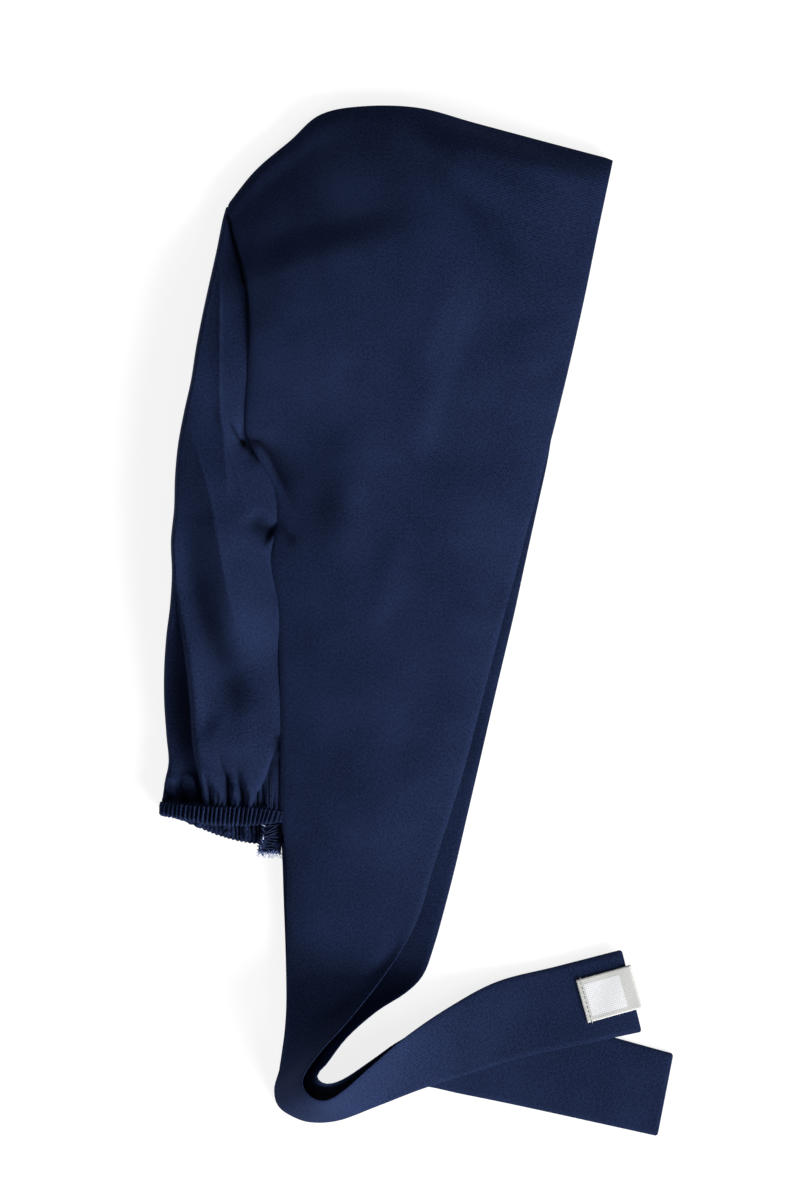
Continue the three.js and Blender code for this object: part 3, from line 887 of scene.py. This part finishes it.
# painted shade: where the pouch's dents, creases and edges lie deep their colour is darkened, and
# how dark is given as the height
pouchPaintedShade = [
    fold([(-80.2, 86.2), (-77.6, 81.6), (-75.2, 77.6), (-72.5, 75.5)], 0.6, 0.9, 0.75, (0.3, 0)),
    fold([(-75.5, 77), (-73.6, 75), (-70, 71), (-66, 67)], 2.6, 1.4, 0.85, (0.2, 0.5)),
    fold([(-70, 47), (-66.6, 41), (-60, 36.6)], 3.8, 4, 0.62, (0.35, 0.1)),
    fold([(-79.9, 173), (-77.6, 161), (-73.8, 147), (-72.6, 141)], 2, 1.1, 0.9, (0.03, 0.2)),
    fold([(-74.2, 149), (-72.4, 141), (-71.8, 130), (-71.4, 119), (-71.9, 108)],
         2, 0.6, 0.8, (0.15, 0.6)),
    # painted shade beside the hanging edge
    fold([(-93.6, -60), (-96, -49.3), (-97.2, -31.9), (-98.9, -16.2), (-101, 2)],
         6.5, 0.9, 0.6, (0.3, 0.45)),
    fold([(-95, 34), (-91, 10), (-84.4, -9), (-78, -25.5), (-68.5, -42)], 6, 6, 0.25, (0.35, 0.35)),
    fold([(-91, 9), (-85, -7), (-79.5, -20)], 6, 6, 0.2),
    fold([(-60.5, -44), (-58.7, -56)], 2.2, 2.2, 0.45),
    fold([(-58.6, -52), (-61.4, -62), (-64, -70), (-67, -78)], 2.6, 1.4, 0.5, (0.1, 0)),
    fold([(-57.5, -54), (-58, -81)], 1.4, 1.4, 0.7, (0.2, 0)),
]
farPleats = {
    "count": 11, "depth": 1.4, "seed": 3, "shift": 0.25, "length": (10, 26), "drift": 0.1,
    "width": 1.3, "widening": 0.04,
}


def halfEdge(half, level):  # the front panel's back edge at a place along the cap
    table = half["sections"]
    rows = np.linspace(0, panel["seamRow"], 600)
    row = np.interp(-level, -read(table, "back", rows)[:, 1], rows)
    inner = read(table, "front", row) - read(table, "back", row)
    inner /= np.linalg.norm(inner[:, :2], axis=1, keepdims=True)
    return panelHalf(half, row, np.ones(row.shape)), inner[:, :2]


fineRows = np.linspace(0, len(casingEdges) - 1, 1500)
fineRun = runAlong(through(casingTops, fineRows))
nearRun = np.interp(casingTurn, fineRows, fineRun)


def casingAt(run, edge):
    return through(edge, np.interp(run, fineRun, fineRows))


def gather(run, down=0):  # the gathers' wave, a little uneven
    uneven = 0.35 * np.sin(run * 0.83) + 0.25 * np.sin(run * 2.1 + 1)
    return np.sin(2 * math.pi * (run + casing["slant"] * down) / casing["rib"] + uneven)


def farCreases(run, above):  # the pleats of the pouch's far cloth, which are never seen as a whole
    rng = np.random.default_rng(farPleats["seed"])
    count, shift, drift = farPleats["count"], farPleats["shift"], farPleats["drift"]
    width = farPleats["width"] + farPleats["widening"] * above
    total = np.zeros(run.shape)
    for k in range(count):
        at = nearRun + (k + 0.5 + rng.uniform(-shift, shift)) / count * (fineRun[-1] - nearRun)
        length, slope = rng.uniform(*farPleats["length"]), rng.uniform(-drift, drift)
        crease = np.exp(-((run - at - slope * above) / width) ** 2)
        total += crease * np.clip(1 - above / length, 0, 1)
    return farPleats["depth"] * total


def keptUp(points):  # nothing of the pouch sinks into the floor
    points[..., 2] = np.maximum(points[..., 2], pouch["onFloor"] - floorGap)
    return points


def pouchPoints(levels, rounds):
    outer = read(pouchLevels, "outer", levels)
    rise = read(pouchLevels, "rise", levels)[:, None]
    shoulder = read(pouchLevels, "shoulder", levels)[:, None]
    seams = []
    for name, half in halves.items():
        seam, inner = halfEdge(half, read(pouchLevels, name, levels))
        seam[:, :2] += inner * pouch["tuck"]
        seam[:, 2] += half["seam"]
        seams.append(seam[:, None])
    everyLevel = np.ones((len(levels), 1))
    near = (rounds < 0.5)[None, :] & (everyLevel > 0)
    seam = np.where(near[..., None], *seams)
    fromTurn = np.abs(1 - 2 * rounds)
    inward = mix(fromTurn, (1 - np.cos(math.pi * fromTurn)) / 2, 0.3)[None, :] * everyLevel
    toSeam = seam[..., :2] - outer[:, None]
    flat = outer[:, None] + toSeam * inward[..., None]
    width = np.linalg.norm(toSeam, axis=2)
    # above the casing the levels bend into its top edge
    farLength = fineRun[-1] - nearRun
    run = np.where(near, nearRun * (1 - inward), nearRun + farLength * inward)
    top = mix(casingAt(run, casingTops), casingAt(run, casingBottoms), pouch["intoCasing"])
    above = (runAlong(outer)[-1] - runAlong(outer))[:, None]
    bend = eased(1 - above / pouch["bend"])
    flat = flat + (top[-1:, :, :2] - flat[-1:]) * bend[..., None]
    x, y = flat[..., 0], flat[..., 1]
    # the near cloth stands between the turn and its seam
    seamZ = seam[..., 2]
    swell = (rise - seamZ) / 2 * (1 - np.abs(2 * inward - 1) ** shoulder)
    turnNear = turned(inward * width, np.minimum(pouch["nearTurn"], width * 0.6))
    nearZ = mix(pouch["outerHeight"], mix(rise, seamZ, inward) + swell, turnNear)
    pleats = [{**pleat, "fade": (0.6, 0), "sharp": True} for pleat in pouchPleats]
    folds = foldHeight(x, y, pouchFolds + pouchRims + pleats) + stepHeight(x, y, pouchSteps)
    folds += waves(x, y, **pouch["wave"])
    folds *= np.clip((1 - inward) * width / 2.5, 0, 1) * turnNear  # they die at seam and turn
    # the far cloth lies on the floor, with pleats of its own, and comes up to its seam
    seamStart, seamOver = pouch["farSeam"]
    farZ = mix(pouch["onFloor"], seamZ, eased((inward - seamStart) / seamOver))
    turnFar = turned(inward * width, np.minimum(pouch["farTurn"], width * 0.6))
    farZ = mix(pouch["outerHeight"], farZ, turnFar)
    z = mix(np.where(near, nearZ, farZ), top[..., 2], eased(1 - above / pouch["settle"]))
    close = np.clip(1 - above / pouch["smooth"], 0, 1)
    z = z + np.where(near, folds, farCreases(run, above)) * (1 - close)
    # painted shade: the pleats' valleys are darkened like deep creases, and the whole far cloth a
    # little
    pleatShade = [
        {**pleat, "height": -0.11 * pleat["height"], "sharp": False}
        for pleat in pleats if pleat["height"] < 0
    ]
    paintedShade = np.where(near, np.clip(foldHeight(x, y, pouchPaintedShade + pleatShade), 0, 1), 0.1)
    return keptUp(np.dstack([x, y, z])), run, np.broadcast_to(above, run.shape), paintedShade


def makePouch():
    fine = np.linspace(0, len(pouchLevels) - 1, 1200)
    down = runAlong(read(pouchLevels, "outer", fine))
    pleated = down[-1] - pouch["pleated"]
    depths = np.concatenate([
        [0, 0.15, 0.35, 0.6],
        np.linspace(1.4, pleated, int(pleated / pouch["rowSpacing"])),
        np.linspace(pleated, down[-1], pouch["pleatedRows"])[1:],
    ])
    edge = np.array([0, 0.0015, 0.004, 0.008, 0.013])
    rounds = np.concatenate([
        edge, np.linspace(0.018, 0.5, pouch["nearColumns"]),
        np.linspace(0.5, 0.982, pouch["farColumns"])[1:], 1 - edge[::-1],
    ])
    points, run, above, paintedShade = pouchPoints(np.interp(depths, down, fine), rounds)
    ribs = gather(run)
    # painted shade: the colour darkens in the gathers' valleys, less the higher above the casing
    dark, reach = pouch["dark"]
    paintedShade = np.clip(paintedShade + dark * np.clip(-ribs, 0, 1) * np.exp(-above / reach), 0, 1)
    ripple = pouch["ribs"] * ribs * np.exp(-above / pouch["ribReach"])
    points = keptUp(points + gridNormals(points) * ripple[..., None])
    around = np.cumsum(np.linalg.norm(np.diff(points, axis=1), axis=2), axis=1)
    around = np.hstack([np.zeros((len(depths), 1)), around])
    turn = int(np.argmin(np.abs(rounds - 0.5)))
    depth = np.broadcast_to(-depths[:, None], around.shape)
    flat = np.dstack([around[:, turn:turn + 1] - around, depth])
    fromSeam = np.minimum(around, around[:, -1:] - around)
    fromEnd = np.minimum(depths, down[-1] - depths)[:, None]
    half = rimThickness(np.minimum(fromSeam, fromEnd), pouch["thickness"] / 2, pouch["edge"])
    return clothMesh("back_panel_pouch", navyTwill, points, flat, half, paintedShade)


pouchCloth = makePouch()


def casingSurface(run, down):  # points on the casing's middle, down being 0 at its top edge
    top, bottom = casingAt(run, casingTops), casingAt(run, casingBottoms)
    return mix(top, bottom, down[..., None])


def closedRim(half):  # nothing of the thickness is left round the edge
    half[[0, -1]] = 0
    half[:, [0, -1]] = 0
    return half


def makeCasing():
    runs = np.linspace(0, fineRun[-1], int(fineRun[-1] / casing["rib"] * casing["perRib"]))
    inner = mix(0.14, 0.88, np.linspace(0, 1, casing["rows"]))
    downs = np.concatenate([[0, 0.02, 0.06, 0.1], inner, [0.92, 0.96, 0.985, 1]])
    run, down = np.meshgrid(runs, downs)
    points = casingSurface(run, down)
    height = np.linalg.norm(casingBottoms[0] - casingTops[0])
    rng = np.random.default_rng(casing["ribSeed"])
    each = rng.uniform(0.75, 1.25, 200)[(run / casing["rib"]).astype(int) % 200]
    flattened = np.clip(1 - run / casing["underStrip"], 0, 1)
    wave = gather(run, down * height) * (1 - 0.65 * flattened)
    fromEdge = np.minimum(down, 1 - down) * height
    fromEnd = np.minimum(run, fineRun[-1] - run)
    rounded = np.where(down < 0.5, casing["topEdge"], casing["edge"])
    shape = turned(np.minimum(fromEdge, fromEnd), rounded)
    groove = casing["groove"] * np.exp(-((down - casing["grooveAt"]) / 0.05) ** 2)
    half = (casing["thickness"] / 2 + casing["ribHeight"] * wave * each - groove) * shape
    points[..., 1] -= casing["scallop"] * wave * np.clip((down - 0.7) / 0.3, 0, 1)
    half = closedRim(half)
    points[..., 2] = np.maximum(points[..., 2], half + floorGap)
    # painted shade: the colour darkens in the gathers' valleys, on the far side out of sight, and
    # on the strip pressed flat by the near seam
    hiddenShade = np.where(run > nearRun, 0.1, 0.4 * flattened)
    paintedShade = np.clip(0.55 * np.clip(-wave, 0, 1) + hiddenShade, 0, 1)
    flat = np.dstack([run, -down * height])
    return clothMesh("elastic_casing_gathers", navyTwill, points, flat, half, paintedShade)


casingCloth = makeCasing()


stitchSizes = ("Spacing", "Length", "Bow", "Thread", "Tilt", "Stray", "Seed")


def stitchTree(name, material):
    # stitches along a line: each is a short bowed thread, set square to the line and tilted
    tree = bpy.data.node_groups.new(name, "GeometryNodeTree")
    kinds = {"Line": "Geometry", "Seed": "Int"}
    for label in ("Line", *stitchSizes):
        kind = "NodeSocket" + kinds.get(label, "Float")
        tree.interface.new_socket(label, in_out="INPUT", socket_type=kind)
    tree.interface.new_socket("Stitches", in_out="OUTPUT", socket_type="NodeSocketGeometry")
    given = tree.nodes.new("NodeGroupInput").outputs
    curve = addNode(tree, "GeometryNodeMeshToCurve", {"Mesh": given["Line"]})
    spaced = {"Curve": curve, "Length": given["Spacing"]}
    evenly = addNode(tree, "GeometryNodeResampleCurve", spaced, {"mode": "LENGTH"})
    tangent = addNode(tree, "GeometryNodeInputTangent", {})
    turning = {"axis": "X", "pivot_axis": "Z"}
    heading = addNode(tree, "FunctionNodeAlignRotationToVector", {"Vector": tangent}, turning)
    chance = {"Seed": given["Seed"], 2: -1, 3: 1}
    stray = addNode(tree, "FunctionNodeRandomValue", chance, {"data_type": "FLOAT"}, 1)
    strayed = maths(tree, "MULTIPLY_ADD", stray, given["Stray"], given["Tilt"])
    twist = addNode(tree, "ShaderNodeCombineXYZ", {"Z": strayed})
    both = {"Rotation": heading, 1: twist}
    turn = addNode(tree, "FunctionNodeRotateRotation", both, {"rotation_space": "LOCAL"})
    # one stitch, along X
    ends = (maths(tree, "MULTIPLY", given["Length"], share) for share in (-0.5, 0.5))
    start, end = (addNode(tree, "ShaderNodeCombineXYZ", {"X": reach}) for reach in ends)
    high = addNode(tree, "ShaderNodeCombineXYZ", {"Z": given["Bow"]})
    bow = addNode(
        tree, "GeometryNodeCurveQuadraticBezier",
        {"Start": start, "Middle": high, "End": end, "Resolution": 6},
    )
    circle = {"Radius": given["Thread"], "Resolution": 7}
    ring = addNode(tree, "GeometryNodeCurvePrimitiveCircle", circle, {"mode": "RADIUS"})
    strand = addNode(
        tree, "GeometryNodeCurveToMesh", {"Curve": bow, "Profile Curve": ring, "Fill Caps": True}
    )
    each = {"Points": evenly, "Instance": strand, "Rotation": turn}
    placed = addNode(tree, "GeometryNodeInstanceOnPoints", each)
    real = addNode(tree, "GeometryNodeRealizeInstances", {"Geometry": placed})
    smooth = addNode(tree, "GeometryNodeSetShadeSmooth", {"Geometry": real})
    finish = addNode(tree, "GeometryNodeSetMaterial", {"Geometry": smooth, "Material": material})
    fill(tree, tree.nodes.new("NodeGroupOutput"), {"Stitches": finish})
    return tree


def stitchRow(name, path, tree, *sizes):
    # path and the first four sizes are in mm, and tilt and stray are turns
    mesh = bpy.data.meshes.new(name)
    edges = [(i, i + 1) for i in range(len(path) - 1)]
    mesh.from_pydata([tuple(p * mm) for p in np.asarray(path, float)], edges, [])
    line = bpy.data.objects.new(name + "_line", mesh)
    bpy.context.collection.objects.link(line)
    modifier = line.modifiers.new("stitches", "NODES")
    modifier.node_group = tree
    given = dict(zip(stitchSizes, sizes))
    for item in tree.interface.items_tree:
        if item.in_out == "INPUT" and item.name in given:
            value = given[item.name]
            modifier[item.identifier] = value if item.name in stitchSizes[4:] else value * mm
    shown = line.evaluated_get(bpy.context.evaluated_depsgraph_get())
    stitches = bpy.data.objects.new(name, bpy.data.meshes.new_from_object(shown))
    bpy.context.collection.objects.link(stitches)
    bpy.data.objects.remove(line)
    return stitches


navyStitches = stitchTree("stitches of navy thread", navyThread)
frayedStitches = stitchTree("stitches of frayed thread", frayedThread)
glintStitches = stitchTree("stitches of glint thread", glintThread)

# a row of small stitches holds the elastic, in the groove under the casing's top edge
runs = np.linspace(1, fineRun[-1] - 1, 220)
line = casingSurface(runs, np.full(runs.shape, casing["grooveAt"]))
beside = [casingSurface(runs, np.full(runs.shape, down)) for down in (0.1, 0.2)]
outward = gridNormals(np.stack(beside))[0]
outward *= np.sign(np.where(runs < nearRun, outward[:, 2], -outward[:, 2]))[:, None]
casingStitches = stitchRow(
    "casing_stitches", line + outward * (casing["thickness"] / 2 - 0.1), navyStitches,
    casing["rib"], 1.3, 0.25, 0.16, 0.15, 0.2, 4,
)


seamEnd = {
    "width": 9.2,
    "length": 15.2,
    "thickness": 1.4,
    "turn": -4,
    "at": (-61.6, -90.4),
    "height": 5.4,
    "droop": 1.2,
    "round": 0.8,
    "columns": 44,
    "rows": 70,
    "lumps": {"height": 1.2, "length": 3.4, "seed": 6},
}


def makeSeamEnd():
    a, b = np.meshgrid(
        np.linspace(-0.5, 0.5, seamEnd["columns"]), np.linspace(0, 1, seamEnd["rows"])
    )
    width = seamEnd["width"] * (1 + 0.05 * np.sin(b * 9))
    x = a * width + 0.4 * np.sin(b * 5)
    y = (0.5 - b) * seamEnd["length"]
    angle = math.radians(seamEnd["turn"])
    crumple = 0.35 * np.sin(a * 7 + b * 6) + 0.5 * np.cos(a * 3)
    points = np.dstack([
        seamEnd["at"][0] + x * math.cos(angle) - y * math.sin(angle),
        seamEnd["at"][1] + x * math.sin(angle) + y * math.cos(angle),
        seamEnd["height"] - seamEnd["droop"] * b ** 1.5 + crumple,
    ])
    lumps = waves(x, y, **seamEnd["lumps"])
    fromEdge = np.minimum((0.5 - np.abs(a)) * width, np.minimum(b, 1 - b) * seamEnd["length"])
    half = closedRim((seamEnd["thickness"] / 2 + 0.3 * lumps) * turned(fromEdge, seamEnd["round"]))
    # painted shade: the seam end is darkened all over, most in the low places between its lumps
    paintedShade = np.clip(0.62 - 0.6 * lumps, 0, 0.9)
    flat = np.dstack([x, y])
    return clothMesh("seam_end_cloth", navyTwill, points, flat, half, paintedShade), points


def topOf(thing, places, within=0.9):  # the cloth's upper side at some places, in mm
    points = np.array([v.co for v in thing.data.vertices]) / mm
    found = []
    for x, y in places:
        near = points[np.hypot(points[:, 0] - x, points[:, 1] - y) < within]
        found.append((x, y, near[:, 2].max()))
    return np.array(found)


seamEndCloth, seamEndPoints = makeSeamEnd()
left, foot = seamEndPoints[:, 1], seamEndPoints[-2]
strip = topOf(pouchCloth, [(-61.9 - 0.25 * k / 12, -65.5 - k) for k in range(13)])
overlockRows = [
    # spacing, length, bow and thickness, tilt, stray and seed
    stitchRow("overlock_loops", left + [0.7, 0, 0.55], navyStitches,
              0.8, 3.2, 0.8, 0.24, 1.0, 0.5, 7),
    stitchRow("overlock_across", seamEndPoints[4:-4, 20] + [0, 0, 0.6], navyStitches,
              1.15, 6.2, 0.7, 0.18, 1.75, 0.5, 14),
    stitchRow("overlock_blue_loops", left[6:-2] + [0.5, 0, 0.8], frayedStitches,
              2.1, 2.0, 0.8, 0.18, 0.8, 0.9, 15),
    # two near-white loops: a painted highlight where the overlock's thread glints
    stitchRow("overlock_glint_loops", left[[16, 40]] + [0.6, 0, 1.1], glintStitches,
              5.2, 1.3, 0.6, 0.26, 0.7, 0.8, 12),
    stitchRow("overlock_foot", foot + [0, 0.4, 0.5], frayedStitches,
              0.8, 2.4, 0.6, 0.16, 1.4, 0.8, 8),
    stitchRow("frayed_ends", foot + [0, -0.7, 0.3], frayedStitches,
              0.6, 3.4, 0.9, 0.1, 1.5, 1.0, 9),
    stitchRow("seam_strip_stitches", strip + [0, 0, 0.05], navyStitches,
              1.2, 1.4, 0.3, 0.14, 0.6, 1.0, 21),
]


label = {
    "length": 21.4,
    "overhang": 3.1,
    "width": 18.8,
    "thickness": 0.7,
    "clear": 0.35,
    "edge": 0.35,
    "angle": 15.5,
    "columns": 40,
    "lift": 0.18,  # it isn't quite flat
    "rows": 34,
    "bendRows": 18,
}


def makeLabel():
    # a strip that lies on the tie's end, bends round it and comes back underneath
    middle = sum(np.array(corner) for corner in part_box("label")) / mm / 2
    startX, startY = (middle - toFrame / mm)[:2]
    level = panel["thickness"] / 2 + label["clear"] + label["thickness"] / 2
    reach = label["overhang"] - label["thickness"] / 2 - level
    start = [0, 0.1, 0.3, 0.6]
    straight = np.concatenate([start, np.linspace(1.2, label["length"] + reach, label["rows"])])
    angles = np.radians(np.linspace(90, -90, label["bendRows"])[1:-1])
    top = np.stack([straight - label["length"], np.full(straight.shape, level)], axis=1)
    bend = np.stack([reach + level * np.cos(angles), level * np.sin(angles)], axis=1)
    path = np.vstack([top, bend, top[::-1] * [1, -1]])
    run = runAlong(path)[:, None]
    side = rimPlaces([label["width"]], label["columns"], 0.4)[0] - 0.5
    across = side[None, :] * label["width"]
    along = path[:, :1] + (label["length"] - label["overhang"]) / 2
    angle = math.radians(label["angle"])
    points = np.dstack([
        startX + along * math.cos(angle) - across * math.sin(angle),
        startY + along * math.sin(angle) + across * math.cos(angle),
        middle[2] + path[:, 1:] + label["lift"] * np.sin(along * 0.35) * np.cos(across * 0.2),
    ])
    fromSide = (0.5 - np.abs(side)) * label["width"]
    fromEdge = np.minimum(fromSide[None, :], np.minimum(run, run[-1] - run))
    half = rimThickness(fromEdge, label["thickness"] / 2, label["edge"])
    flat = np.dstack(np.broadcast_arrays(across, -run))
    return clothMesh("label_tape", wovenTape, points, flat, half), points


labelTape, labelPoints = makeLabel()
labelStitches = stitchRow(
    "label_stitches", labelPoints[5, 4:-4] + [0, 0, 0.35],
    stitchTree("stitches of grey thread", greyThread), 2.05, 1.35, 0.3, 0.17, 0.12, 0.12, 2,
)
print("label, seam end and stitches are sewn")


for thing in (pouchCloth, casingCloth, casingStitches, seamEndCloth, *overlockRows,
              labelTape, labelStitches):
    place(thing)
    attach(thing, "root")
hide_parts("back_panel")
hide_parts("elastic_casing")
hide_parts("seam_end")
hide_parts("label")
